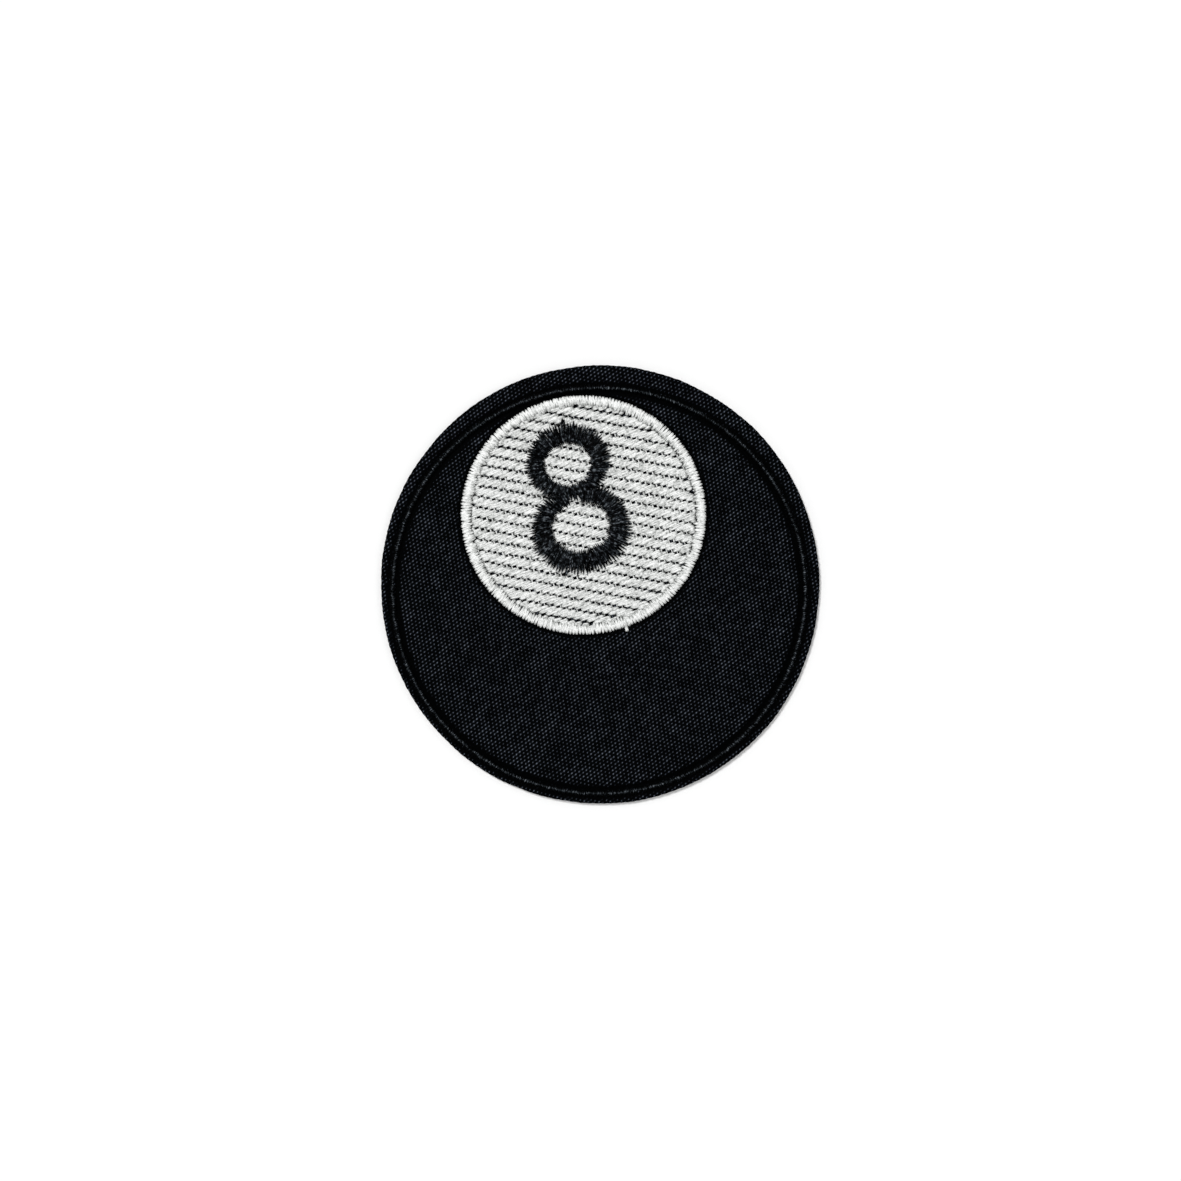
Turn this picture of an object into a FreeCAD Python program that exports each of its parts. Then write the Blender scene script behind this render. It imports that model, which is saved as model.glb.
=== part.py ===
import FreeCAD, Part
import math
import os

# An embroidered, iron-on eight-ball patch, lying on its back. Millimetres, +Z up out of the
# stitched face, +Y towards the top of the picture. The origin is the centre of the flat back.
#
# Two layers of cloth carry the picture. Every area of stitching is one top thread, which shows on
# the face, goes down through needle holes at the edges of its column and comes back along the
# underside, and one bobbin thread, which the top thread grips against the underside.

# --- Driving dimensions ---------------------------------------------------------------------

# Cloth
patch_diameter = 76.2
film_thickness = 0.40
stabiliser_thickness = 0.30
twill_thickness = 0.40
rim_round = 0.12

# Thread
thread_diameter = 0.30
bobbin_thickness = 0.14
underlay_thickness = 0.12

# Fits
needle_hole_clearance = 0.02
needle_inset = 0.03
layer_clearance = 0.05
leg_sink = 0.03
back_share = 1 / 3

# Outline ring: a narrow black satin column, with a margin of plain cloth all round it
margin_left = 1.625
margin_right = 2.025
margin_top = 3.50
margin_bottom = 1.40
outline_column = 1.05
outline_rise = 0.42
outline_stitch_spacing = 3.6

# White spot: tatami fill with a satin border over its edge, just below the top of the outline
spot_width = 42.4
spot_height = 41.35
spot_x = -2.87
spot_top_gap = 0.825
border_column = 1.90
border_rise = 0.75
border_stitch_spacing = 3.2
fill_tuck = 0.60
fill_rise = 0.35
fill_underlay_inset = 1.2
fill_hole_spacing = 3.6
fill_slope_deg = -10.0

# Numeral 8: two satin loops. The lower one starts and ends against the upper one, at the waist.
# The gaps are from the border's inner edge to the top and bottom of the numeral.
numeral_top_gap = 2.65
numeral_bottom_gap = 8.70
numeral_x = -0.43
numeral_lean_deg = 11.0
loop_overlap = 3.00
upper_loop_share = 0.466
upper_loop_roundness = 1.10
lower_loop_roundness = 1.135
upper_strokes = {"side": 3.65, "top": 3.90, "bottom": 3.00}
lower_strokes = {"side": 4.05, "top": 2.90, "bottom": 4.20}
numeral_rise = 0.45
numeral_stitch_spacing = 2.8

# Tie-offs: the small lumps of lock stitches where a column starts or ends
tie_off_diameter = 0.90
tie_off_rise = 0.30
tie_off_stand_out = 0.20
border_tie_off_deg = -70.0
upper_tie_off_deg = 92.0
lower_tie_off_deg = 248.0

# --- Levels, from the back upwards ----------------------------------------------------------

stabiliser_level = film_thickness
twill_level = stabiliser_level + stabiliser_thickness
face_level = twill_level + twill_thickness
fill_level = face_level + fill_rise
needle_hole_diameter = thread_diameter + 2 * needle_hole_clearance
leg_inset = needle_inset + thread_diameter / 2


# --- Basic shapes ---------------------------------------------------------------------------


def post(point, diameter, bottom, height):
    """An upright round bar at a point of the plane."""
    base = FreeCAD.Vector(point[0], point[1], bottom)
    return Part.makeCylinder(diameter / 2, height, base)


def rounded_top(solid, radius):
    """Round every edge at the very top of a solid."""
    top = solid.BoundBox.ZMax
    edges = [edge for edge in solid.Edges if edge.BoundBox.ZMin > top - 0.001]
    return solid.makeFillet(radius, edges)


def dome_radius(rise, width):
    """How round a column's top can be: it is limited by its height and by half its width."""
    return min(0.8 * rise, 0.45 * width)


def fused(shapes):
    """One solid from shapes that touch or overlap."""
    return shapes[0].multiFuse(shapes[1:]).removeSplitter()


class Oval:
    """A plain oval outline in the plane of the cloth, made of four arcs that run on smoothly.

    The arcs meet at 45 degrees. shift is how far the centres of the arcs lie from the oval's own
    centre: sideways for the two side arcs, and up or down for the top and bottom ones.
    """

    def __init__(self, x, y, width, height, turn_deg=0.0):
        self.centre = (x, y)
        self.half = (width / 2, height / 2)
        self.turn_deg = turn_deg
        self.shift = (self.half[0] - self.half[1]) / (2 - math.sqrt(2))
        self.side_radius = self.half[0] - self.shift
        self.end_radius = self.half[1] + self.shift

    def grown(self, by):
        """The same oval, moved outwards all round by a distance."""
        width = 2 * (self.half[0] + by)
        height = 2 * (self.half[1] + by)
        return Oval(self.centre[0], self.centre[1], width, height, self.turn_deg)

    def towards(self, other, share):
        """An oval part of the way from this one to another."""
        x = self.centre[0] + share * (other.centre[0] - self.centre[0])
        y = self.centre[1] + share * (other.centre[1] - self.centre[1])
        width = 2 * (self.half[0] + share * (other.half[0] - self.half[0]))
        height = 2 * (self.half[1] + share * (other.half[1] - self.half[1]))
        return Oval(x, y, width, height, self.turn_deg)

    def point(self, facing_deg):
        """The point where the outline faces in a direction, from the oval's own right-hand side."""
        across = math.cos(math.radians(facing_deg))
        upwards = math.sin(math.radians(facing_deg))
        if abs(across) > abs(upwards):
            x = self.side_radius * across + math.copysign(1, across) * self.shift
            y = self.side_radius * upwards
        else:
            x = self.end_radius * across
            y = self.end_radius * upwards - math.copysign(1, upwards) * self.shift
        turn = math.radians(self.turn_deg)
        turned_x = x * math.cos(turn) - y * math.sin(turn)
        turned_y = x * math.sin(turn) + y * math.cos(turn)
        return (self.centre[0] + turned_x, self.centre[1] + turned_y)

    def spaced_points(self, spacing):
        """Points all round the outline, about this far apart."""
        around = math.pi * (self.half[0] + self.half[1])
        count = max(6, round(around / spacing))
        return [self.point(360 * step / count) for step in range(count)]

    def holds(self, point):
        """Whether a point of the plane is inside the outline."""
        turn = math.radians(self.turn_deg)
        x = point[0] - self.centre[0]
        y = point[1] - self.centre[1]
        across = abs(x * math.cos(turn) + y * math.sin(turn))
        upwards = abs(y * math.cos(turn) - x * math.sin(turn))
        if upwards < across - self.shift:
            return math.hypot(across - self.shift, upwards) < self.side_radius
        return math.hypot(across, upwards + self.shift) < self.end_radius

    def disc(self, bottom, height):
        """A solid disc of this outline."""
        arcs = []
        for middle_deg in (0, 90, 180, 270):
            ends = [self.point(middle_deg + turn_deg) for turn_deg in (-45, 0, 45)]
            arcs.append(Part.Arc(*[FreeCAD.Vector(x, y, bottom) for x, y in ends]).toShape())
        return Part.Face(Part.Wire(arcs)).extrude(FreeCAD.Vector(0, 0, height))


class Column:
    """A satin column that closes on itself: the band between two ovals."""

    def __init__(self, outer, inner, spacing):
        self.outer = outer
        self.inner = inner
        self.spacing = spacing

    def band(self, bottom, height, from_inner=0.0, from_outer=0.0):
        """The column's band, held back by a distance from either edge."""
        outside = self.outer.grown(-from_outer).disc(bottom, height)
        inside = self.inner.grown(from_inner).disc(bottom, height)
        return outside.cut(inside)

    def share_band(self, bottom, height, start, end):
        """The part of the band between two shares of its width, from its inner edge."""
        outside = self.inner.towards(self.outer, end).disc(bottom, height)
        inside = self.inner.towards(self.outer, start).disc(bottom, height)
        return outside.cut(inside)

    def covers(self, point, margin):
        """Whether a point is within the band or closer to it than a margin."""
        return self.outer.grown(margin).holds(point) and not self.inner.grown(-margin).holds(point)

    def outer_needles(self):
        """Where the needle goes through the cloth along the column's outer edge."""
        return self.outer.grown(-leg_inset).spaced_points(self.spacing)

    def inner_needles(self):
        """Where the needle goes through the cloth along the column's inner edge."""
        return self.inner.grown(leg_inset).spaced_points(self.spacing)


def posts(points, diameter, bottom, top):
    return [post(point, diameter, bottom, top - bottom) for point in points]


def with_holes(solid, points):
    """A layer with a needle hole at each point, right through it."""
    box = solid.BoundBox
    low = box.ZMin - 1
    high = box.ZMax + 1
    return solid.cut(Part.makeCompound(posts(points, needle_hole_diameter, low, high)))


def back_threads(column, level):
    """The top thread on the underside: the bands either side of the bobbin thread."""
    bottom = level - bobbin_thickness
    inner_band = column.share_band(bottom, bobbin_thickness, 0, back_share)
    outer_band = column.share_band(bottom, bobbin_thickness, 1 - back_share, 1)
    return [inner_band, outer_band]


def legs_between(points, back_level, seat_level):
    """The thread's legs, from the underside of the cloth up into the stitches on top."""
    return posts(points, thread_diameter, back_level, seat_level + leg_sink)


# --- The areas of stitching -----------------------------------------------------------------

outline_outer = Oval(
    (margin_left - margin_right) / 2,
    (margin_bottom - margin_top) / 2,
    patch_diameter - margin_left - margin_right,
    patch_diameter - margin_bottom - margin_top,
)
outline = Column(outline_outer, outline_outer.grown(-outline_column), outline_stitch_spacing)

spot_top = outline.inner.centre[1] + outline.inner.half[1] - spot_top_gap
spot_y = spot_top - spot_height / 2
spot_outer = Oval(spot_x, spot_y, spot_width, spot_height)
border = Column(spot_outer, spot_outer.grown(-border_column), border_stitch_spacing)
fill_edge = border.inner.grown(fill_tuck)

numeral_top = spot_y + border.inner.half[1] - numeral_top_gap
numeral_bottom = spot_y - border.inner.half[1] + numeral_bottom_gap
both_loops = numeral_top - numeral_bottom + loop_overlap
upper_height = upper_loop_share * both_loops
lower_height = both_loops - upper_height
upper_y = numeral_top - upper_height / 2
lower_y = numeral_bottom + lower_height / 2
lower_x = spot_x + numeral_x
upper_x = lower_x - (upper_y - lower_y) * math.tan(math.radians(numeral_lean_deg))

def loop_column(x, y, width, height, strokes):
    """One loop of the numeral, from its outer oval and the widths of its strokes."""
    outer = Oval(x, y, width, height, numeral_lean_deg)
    counter_y = y + (strokes["bottom"] - strokes["top"]) / 2
    counter_width = width - 2 * strokes["side"]
    counter_height = height - strokes["top"] - strokes["bottom"]
    counter = Oval(x, counter_y, counter_width, counter_height, numeral_lean_deg)
    return Column(outer, counter, numeral_stitch_spacing)


upper = loop_column(
    upper_x, upper_y, upper_height * upper_loop_roundness, upper_height, upper_strokes
)
lower = loop_column(
    lower_x, lower_y, lower_height * lower_loop_roundness, lower_height, lower_strokes
)


def outside_oval(points, outline_oval):
    """The points that an oval leaves free."""
    return [point for point in points if not outline_oval.holds(point)]


outline_points = outline.outer_needles() + outline.inner_needles()
border_points = border.outer_needles() + border.inner_needles()
upper_points = upper.outer_needles() + upper.inner_needles()
lower_points = outside_oval(
    lower.outer_needles() + lower.inner_needles(), upper.outer.grown(needle_hole_diameter)
)
numeral_points = upper_points + lower_points


def fill_points():
    """Needle holes of the fill: sloping rows, each half a step on from the last."""
    margin = leg_inset + layer_clearance
    free = fill_edge.grown(-fill_underlay_inset - margin)
    slope = math.radians(fill_slope_deg)
    reach = math.ceil(spot_width / fill_hole_spacing)
    points = []
    for row in range(-reach, reach + 1):
        for step in range(-reach, reach + 1):
            along = (step + 0.5 * (row % 2)) * fill_hole_spacing
            up = row * fill_hole_spacing
            x = spot_x + along * math.cos(slope) - up * math.sin(slope)
            y = spot_y + along * math.sin(slope) + up * math.cos(slope)
            clear = not upper.covers((x, y), margin) and not lower.covers((x, y), margin)
            if free.holds((x, y)) and clear:
                points.append((x, y))
    return points


tatami_points = fill_points()
all_points = outline_points + border_points + numeral_points + tatami_points


# --- Threads under the cloth ----------------------------------------------------------------


def make_fill_bobbin():
    bottom = stabiliser_level - bobbin_thickness
    disc = border.inner.disc(bottom, bobbin_thickness)
    return with_holes(disc, numeral_points)


def bobbin_band(column, level):
    bottom = level - bobbin_thickness
    return column.share_band(bottom, bobbin_thickness, back_share, 1 - back_share)


numeral_back_level = stabiliser_level - bobbin_thickness


def below_upper_loop(shape):
    """What is left of a lower-loop shape where it stops against the upper loop."""
    box = shape.BoundBox
    return shape.cut(upper.outer.disc(box.ZMin - 1, box.ZLength + 2))


def make_numeral_bobbin():
    lower_band = below_upper_loop(bobbin_band(lower, numeral_back_level))
    return Part.makeCompound([bobbin_band(upper, numeral_back_level), lower_band])


# --- Threads inside the stitching -----------------------------------------------------------


def underlay_band(column, level):
    """The run of stitches between a column's two rows of needle holes."""
    inset = needle_inset + thread_diameter + layer_clearance
    return column.band(level, underlay_thickness, inset, inset)


def make_border_underlay():
    """The border's underlay lies on the cloth, outside the edge of the fill."""
    from_inner = fill_tuck + layer_clearance
    from_outer = needle_inset + thread_diameter + layer_clearance
    return border.band(face_level, underlay_thickness, from_inner, from_outer)


def make_fill_underlay():
    disc = fill_edge.grown(-fill_underlay_inset).disc(face_level, underlay_thickness)
    return with_holes(disc, numeral_points + tatami_points + border_points)


def make_numeral_underlay():
    lower_band = below_upper_loop(underlay_band(lower, fill_level))
    return Part.makeCompound([underlay_band(upper, fill_level), lower_band])


# --- Threads on the face --------------------------------------------------------------------


def make_fill_stitches(underlay):
    disc = fill_edge.disc(face_level, fill_rise)
    legs = posts(tatami_points, thread_diameter, stabiliser_level, face_level + fill_rise)
    body = with_holes(disc.cut(underlay), numeral_points + border_points)
    return fused([body] + legs)


def make_outline_satin(underlay):
    radius = dome_radius(outline_rise, outline_column)
    band = rounded_top(outline.band(face_level, outline_rise), radius)
    legs = legs_between(outline_points, stabiliser_level, face_level)
    return fused([band.cut(underlay)] + legs + back_threads(outline, stabiliser_level))


def make_border_satin(underlay):
    """The border's column, with the edge of the fill and the underlay let into its underside."""
    radius = dome_radius(border_rise, border_column)
    band = rounded_top(border.band(face_level, border_rise), radius)
    tucked = fill_edge.disc(face_level, fill_rise)
    outer_legs = legs_between(border.outer_needles(), stabiliser_level, face_level)
    inner_legs = legs_between(border.inner_needles(), stabiliser_level, fill_level)
    body = band.cut(tucked).cut(underlay)
    return fused([body] + outer_legs + inner_legs + back_threads(border, stabiliser_level))


def numeral_band(column):
    """One loop's column, domed: every part of a loop is wider than twice its rise."""
    return rounded_top(column.band(fill_level, numeral_rise), dome_radius(numeral_rise, 2 * numeral_rise))


def make_upper_loop(underlay):
    band = numeral_band(upper)
    legs = legs_between(upper_points, numeral_back_level, fill_level)
    return fused([band.cut(underlay)] + legs + back_threads(upper, numeral_back_level))


def make_lower_loop(underlay):
    band = numeral_band(lower)
    legs = legs_between(lower_points, numeral_back_level, fill_level)
    turns = [below_upper_loop(turn) for turn in back_threads(lower, numeral_back_level)]
    return fused([below_upper_loop(band).cut(underlay)] + legs + turns)


# --- Tie-offs -------------------------------------------------------------------------------


def tie_off(column, angle_deg, level):
    """A low button of lock stitches against the outer edge of a column."""
    place = column.outer.grown(tie_off_stand_out).point(angle_deg)
    button = rounded_top(post(place, tie_off_diameter, level, tie_off_rise), 0.4 * tie_off_rise)
    return button.cut(column.outer.disc(level - 1, tie_off_rise + 2))


# --- Cloth and film -------------------------------------------------------------------------


def cloth_disc(bottom, thickness):
    return Part.makeCylinder(patch_diameter / 2, thickness, FreeCAD.Vector(0, 0, bottom))


def make_twill_face():
    disc = rounded_top(cloth_disc(twill_level, twill_thickness), rim_round)
    return with_holes(disc, all_points)


def make_stabiliser():
    return with_holes(cloth_disc(stabiliser_level, stabiliser_thickness), all_points)


def make_hot_melt_film():
    """The film flows round the threads on the underside, so they are let into its top."""
    film = cloth_disc(0, film_thickness)
    top_pocket = stabiliser_level - bobbin_thickness
    deep_pocket = numeral_back_level - bobbin_thickness
    film = film.cut(outline.band(top_pocket, bobbin_thickness))
    film = film.cut(border.outer.disc(top_pocket, bobbin_thickness))
    numeral_pocket = [column.band(deep_pocket, bobbin_thickness) for column in (upper, lower)]
    return film.cut(fused(numeral_pocket))


# --- Assembly -------------------------------------------------------------------------------


def build():
    outline_underlay = underlay_band(outline, face_level)
    border_underlay = make_border_underlay()
    fill_underlay = make_fill_underlay()
    numeral_underlay = make_numeral_underlay()
    upper_knot = tie_off(upper, upper_tie_off_deg, fill_level)
    lower_knot = tie_off(lower, lower_tie_off_deg, fill_level)
    return {
        "hot_melt_film": make_hot_melt_film(),
        "numeral_bobbin": make_numeral_bobbin(),
        "outline_bobbin": bobbin_band(outline, stabiliser_level),
        "border_bobbin": bobbin_band(border, stabiliser_level),
        "fill_bobbin": make_fill_bobbin(),
        "stabiliser": make_stabiliser(),
        "twill_face": make_twill_face(),
        "outline_underlay": outline_underlay,
        "border_underlay": border_underlay,
        "fill_underlay": fill_underlay,
        "numeral_underlay": numeral_underlay,
        "fill_stitches": make_fill_stitches(fill_underlay),
        "outline_satin": make_outline_satin(outline_underlay),
        "border_satin": make_border_satin(border_underlay),
        "numeral_upper_loop": make_upper_loop(numeral_underlay),
        "numeral_lower_loop": make_lower_loop(numeral_underlay),
        "border_tie_off": tie_off(border, border_tie_off_deg, face_level),
        "numeral_tie_offs": Part.makeCompound([upper_knot, lower_knot]),
    }


def write(nodes):
    os.makedirs("parts", exist_ok=True)
    for name, shape in nodes.items():
        solids = shape.Solids
        whole = solids[0] if len(solids) == 1 else Part.makeCompound(solids)
        whole.exportStep(os.path.join("parts", name + ".step"))
        print(name, "solids", len(solids), "volume", round(whole.Volume, 2), "valid", whole.isValid())


write(build())
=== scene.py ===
import math

import bpy
import numpy as np
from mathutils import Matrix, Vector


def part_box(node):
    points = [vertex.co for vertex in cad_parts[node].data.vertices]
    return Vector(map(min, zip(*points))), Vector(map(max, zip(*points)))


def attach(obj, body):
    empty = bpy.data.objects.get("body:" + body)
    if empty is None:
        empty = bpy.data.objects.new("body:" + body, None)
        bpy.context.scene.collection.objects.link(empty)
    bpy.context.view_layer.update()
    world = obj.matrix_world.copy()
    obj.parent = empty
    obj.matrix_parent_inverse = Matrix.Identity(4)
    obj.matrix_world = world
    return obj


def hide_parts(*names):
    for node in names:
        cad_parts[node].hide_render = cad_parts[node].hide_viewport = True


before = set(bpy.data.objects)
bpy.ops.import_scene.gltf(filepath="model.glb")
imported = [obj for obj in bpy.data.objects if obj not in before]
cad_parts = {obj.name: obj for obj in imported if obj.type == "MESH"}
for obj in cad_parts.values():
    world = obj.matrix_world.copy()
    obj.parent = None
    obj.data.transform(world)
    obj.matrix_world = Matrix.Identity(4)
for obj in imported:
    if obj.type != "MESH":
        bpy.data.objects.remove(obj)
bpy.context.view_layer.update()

MM = 0.001
BODY = "root"
random = np.random.default_rng(8)

# --- Sizes, in millimetres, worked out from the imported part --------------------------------


def corners(node):
    """A CAD node's lowest and highest corners, in millimetres."""
    low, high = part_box(node)
    return np.array(low) / MM, np.array(high) / MM


def centre_and_half(node):
    """The middle of a CAD node and half its width and height, in the plane of the cloth."""
    low, high = corners(node)
    return (low[:2] + high[:2]) / 2, (high[:2] - low[:2]) / 2


class Oval:
    """An oval in the plane of the cloth. Angles run from its own right-hand side."""

    def __init__(self, centre, half, lean=0.0):
        self.centre = np.array(centre, float)
        self.half = np.array(half, float)
        self.lean = lean

    def grown(self, by):
        """The same oval with its edge this much further out."""
        return Oval(self.centre, self.half + by, self.lean)

    def at(self, angle):
        """Points of the outline."""
        across = self.half[0] * np.cos(angle)
        upwards = self.half[1] * np.sin(angle)
        x = across * math.cos(self.lean) - upwards * math.sin(self.lean)
        y = across * math.sin(self.lean) + upwards * math.cos(self.lean)
        return self.centre + np.stack([x, y], -1)

    def depth(self, points):
        """0 at the centre, 1 on the outline and more outside it."""
        moved = points - self.centre
        across = moved[..., 0] * math.cos(self.lean) + moved[..., 1] * math.sin(self.lean)
        upwards = moved[..., 1] * math.cos(self.lean) - moved[..., 0] * math.sin(self.lean)
        return np.hypot(across / self.half[0], upwards / self.half[1])


RADIUS = (corners("twill_face")[1][0] - corners("twill_face")[0][0]) / 2
BACK = corners("hot_melt_film")[0][2]
FACE = corners("twill_face")[1][2]
CLOTH_BACK = corners("twill_face")[0][2]
FILL_TOP = corners("numeral_underlay")[0][2]
OUTLINE_TOP = corners("outline_satin")[1][2]
BORDER_TOP = corners("border_satin")[1][2]
NUMERAL_TOP = corners("numeral_upper_loop")[1][2]

OUTLINE_COLUMN = 1.05
BORDER_COLUMN = 1.90
LEAN = math.radians(11.0)
LOWER_ROUNDNESS = 1.135
# Widths of the numeral's strokes as its threads lie. Those above and below the lower counter are
# a little wider than in the solid.
UPPER_STROKES = {"side": 3.65, "top": 3.90, "bottom": 3.00}
LOWER_STROKES = {"side": 4.05, "top": 3.40, "bottom": 4.30}

outline_outer = Oval(*centre_and_half("outline_satin"))
outline_inner = outline_outer.grown(-OUTLINE_COLUMN)
spot_outer = Oval(*centre_and_half("border_satin"))
spot_inner = spot_outer.grown(-BORDER_COLUMN)
fill_edge = Oval(*centre_and_half("fill_stitches"))


def counter_of(outer, strokes):
    """The hole in a loop of the numeral, from the widths of the strokes round it."""
    width = outer.half[0] - strokes["side"]
    height = outer.half[1] - (strokes["top"] + strokes["bottom"]) / 2
    centre = outer.centre + np.array([0, (strokes["bottom"] - strokes["top"]) / 2])
    return Oval(centre, (width, height), LEAN)


upper_centre, upper_half = centre_and_half("numeral_upper_loop")
upper_outer = Oval(upper_centre, upper_half, LEAN)
upper_counter = counter_of(upper_outer, UPPER_STROKES)

lower_low, lower_high = corners("numeral_lower_loop")
lower_half_width = (lower_high[0] - lower_low[0]) / 2
lower_half = np.array([lower_half_width, lower_half_width / LOWER_ROUNDNESS])
lower_centre = np.array([(lower_low[0] + lower_high[0]) / 2, lower_low[1] + lower_half[1]])
lower_outer = Oval(lower_centre, lower_half, LEAN)
lower_counter = counter_of(lower_outer, LOWER_STROKES)


# --- Meshes ---------------------------------------------------------------------------------

# The map for a piece's colours reaches this many radii out from the middle of the patch.
MAP_REACH = 1.05


def make_piece(name, points, faces, slot, material, **attributes):
    """A smooth mesh from points in millimetres, with a flat map of the whole patch for its
    colours. attributes are what its material reads at each point."""
    mesh = bpy.data.meshes.new(name)
    points = np.asarray(points, float)
    mesh.from_pydata((points * MM).tolist(), [], faces)
    corner = np.empty(len(mesh.loops), np.int32)
    mesh.loops.foreach_get("vertex_index", corner)
    flat = (points[:, :2] / RADIUS + MAP_REACH) / (2 * MAP_REACH)
    layer = mesh.uv_layers.new(name="OFBake")
    layer.data.foreach_set("uv", flat[corner].astype(np.float32).ravel())
    for key, values in attributes.items():
        attribute = mesh.attributes.new(key, "FLOAT_VECTOR", "POINT")
        attribute.data.foreach_set("vector", np.asarray(values, np.float32).ravel())
    mesh.polygons.foreach_set("use_smooth", [True] * len(mesh.polygons))
    mesh.materials.append(material)
    mesh.update()
    piece = bpy.data.objects.new(name, mesh)
    bpy.context.scene.collection.objects.link(piece)
    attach(piece, BODY)
    return piece


# The ends of a thread lie deep among its neighbours, and its colour is painted darker there,
# as shade, for this far, but for no more than this share of its length.
END_SHADE_LENGTH = 0.60
END_SHADE_SHARE = 0.25
# How fast the two plies of a thread turn, in radians for each millimetre, and how far apart two
# threads' turns may start.
PLY_TURN = 2.2
PLY_PHASE = 37.0


def stops(steps):
    """Shares of the way along a thread, closer together towards its ends."""
    return 0.5 - 0.5 * np.cos(np.linspace(0, math.pi, steps))


def tubes(lines, half_width, half_height, taper, sides=8, ply=0.0, light=None):
    """Threads along lines, an array of (thread, step, xyz).

    Every thread is an oval tube, thinner at its ends by taper. ply is how far its two plies
    stand out of it as they turn round each other. Returns points, faces and the thread map:
    millimetres along, share of the way round, a number of its own, and the painted light,
    from 0 to 1, by which its material paints the colour lighter or darker. light gives that
    for each step. Without it, it is the distance from the thread's ends, from 0 to 1, so that
    the ends are painted darker, as shade, where they dive among their neighbours.
    """
    count, steps = lines.shape[:2]
    run = lines[:, -1] - lines[:, 0]
    run[:, 2] = 0
    run /= np.linalg.norm(run, axis=1, keepdims=True)
    side = np.stack([-run[:, 1], run[:, 0], np.zeros(count)], -1)[:, None, :]
    tangent = np.gradient(lines, axis=1)
    tangent /= np.linalg.norm(tangent, axis=2, keepdims=True)
    normal = np.cross(tangent, np.broadcast_to(side, tangent.shape))
    gaps = np.linalg.norm(np.diff(lines, axis=1), axis=2)
    along = np.concatenate([np.zeros((count, 1)), np.cumsum(gaps, 1)], 1)
    around = np.arange(sides) / sides
    turn = 2 * math.pi * around - math.pi / 2
    own = random.uniform(0, 1, (count, 1, 1))
    plies = np.sin(4 * math.pi * around + PLY_TURN * along[:, :, None] + PLY_PHASE * own)
    thin = taper[..., None] * (1 + ply * plies)
    wide = np.broadcast_to(half_width, (count, 1))[:, :, None] * thin * np.cos(turn)
    tall = np.broadcast_to(half_height, (count, 1))[:, :, None] * thin * np.sin(turn)
    points = lines[:, :, None, :] + wide[..., None] * side[:, :, None, :]
    points = points + tall[..., None] * normal[:, :, None, :]
    first = (np.arange(count) * steps * sides)[:, None, None]
    step = (np.arange(steps - 1) * sides)[None, :, None]
    here = np.arange(sides)[None, None, :]
    after = (here + 1) % sides
    a, b = first + step + here, first + step + after
    quads = np.stack([a, b, b + sides, a + sides], -1).reshape(-1, 4)
    start = (first[:, 0] + np.arange(sides)[::-1]).tolist()
    end = (first[:, 0] + (steps - 1) * sides + np.arange(sides)).tolist()
    # Painted shade: the colour darkens towards both ends of the thread.
    if light is None:
        whole = along[:, -1:]
        end_shade_reach = np.minimum(END_SHADE_LENGTH, whole * END_SHADE_SHARE)
        light = np.clip(np.minimum(along, whole - along) / end_shade_reach, 0, 1)
    shape = (count, steps, sides)
    maps = (along[:, :, None], around, own, np.broadcast_to(light, (count, steps))[:, :, None])
    maps = np.stack([np.broadcast_to(values, shape) for values in maps], -1)
    return points.reshape(-1, 3), quads.tolist() + start + end, maps.reshape(-1, 4)


def make_threads(name, node, threads, slot, material):
    """A piece of thread from the result of tubes(), in place of a CAD node."""
    points, faces, maps = threads
    # The painted light, for the material's painted highlight and shade.
    open_to_light = np.repeat(maps[:, 3:], 3, axis=1)
    piece = make_piece(
        name, points, faces, slot, material, strand=maps[:, :3], open_to_light=open_to_light
    )
    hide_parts(node)


def axes(angle):
    """Unit vectors of the plane along a direction and to its left."""
    along = np.array([math.cos(angle), math.sin(angle)])
    return along, np.array([-along[1], along[0]])


def end_taper(steps, count, ends=0.55, share=0.16, pointed=False):
    """Full width along the middle of a thread, thinner towards both ends."""
    s = stops(steps)
    near = np.clip(np.minimum(s, 1 - s) / share, 0, 1)
    curve = near if pointed else np.sin(near * math.pi / 2)
    return np.broadcast_to(ends + (1 - ends) * curve, (count, steps))


def satin_lines(
    outer, inner, count, steps, base, top, teeth, start=0.0, roundness=2.4, sway=0.03, slant=0.5
):
    """Centre lines of a satin column's zigzag, count stitches of so many steps.

    base is the height at its inner and outer edge, and top the height at its crest. teeth is how
    far the needle points stray from those two edges, and sway how far a stitch wanders sideways,
    all in millimetres. A higher roundness gives a flatter crest, and slant is the share of the
    way to its neighbour that a stitch leans.
    """
    step = 2 * math.pi / count
    stitch = np.arange(count)
    angle = start + stitch * step
    zigzag = np.where(stitch % 2, slant, -slant) * step
    stray = random.uniform(-0.3, 0.3, (2, count)) * step
    inside = inner.at(angle + zigzag + stray[0])
    outside = outer.at(angle - zigzag + stray[1])
    across = outside - inside
    length = np.linalg.norm(across, axis=1, keepdims=True)
    needles = random.uniform(-1, 1, (2, count, 1)) * np.array(teeth)[:, None, None] / length
    inside = inside - across * needles[0][(stitch + 1) // 2]
    outside = outside + across * needles[1][stitch // 2]
    s = stops(steps)[None, :, None]
    flat = inside[:, None, :] + (outside - inside)[:, None, :] * s
    sideways = np.stack([-across[:, 1], across[:, 0]], -1) / length
    waves = random.uniform(0.8, 1.8, (count, 1, 1))
    phase = random.uniform(0, 6, (count, 1, 1))
    wave = np.sin(s * math.pi * waves + phase)
    flat = flat + sideways[:, None, :] * wave * sway * np.sin(s * math.pi)
    dome = np.clip(1 - np.abs(2 * s - 1) ** roundness, 0, 1) ** (1 / roundness)
    lift = random.uniform(-0.03, 0.03, (count, 1, 1))
    floor = base[0] + (base[1] - base[0]) * s
    height = floor + (top - floor + lift) * dome
    return np.concatenate([flat, height], -1)


# --- Materials ------------------------------------------------------------------------------


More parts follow.
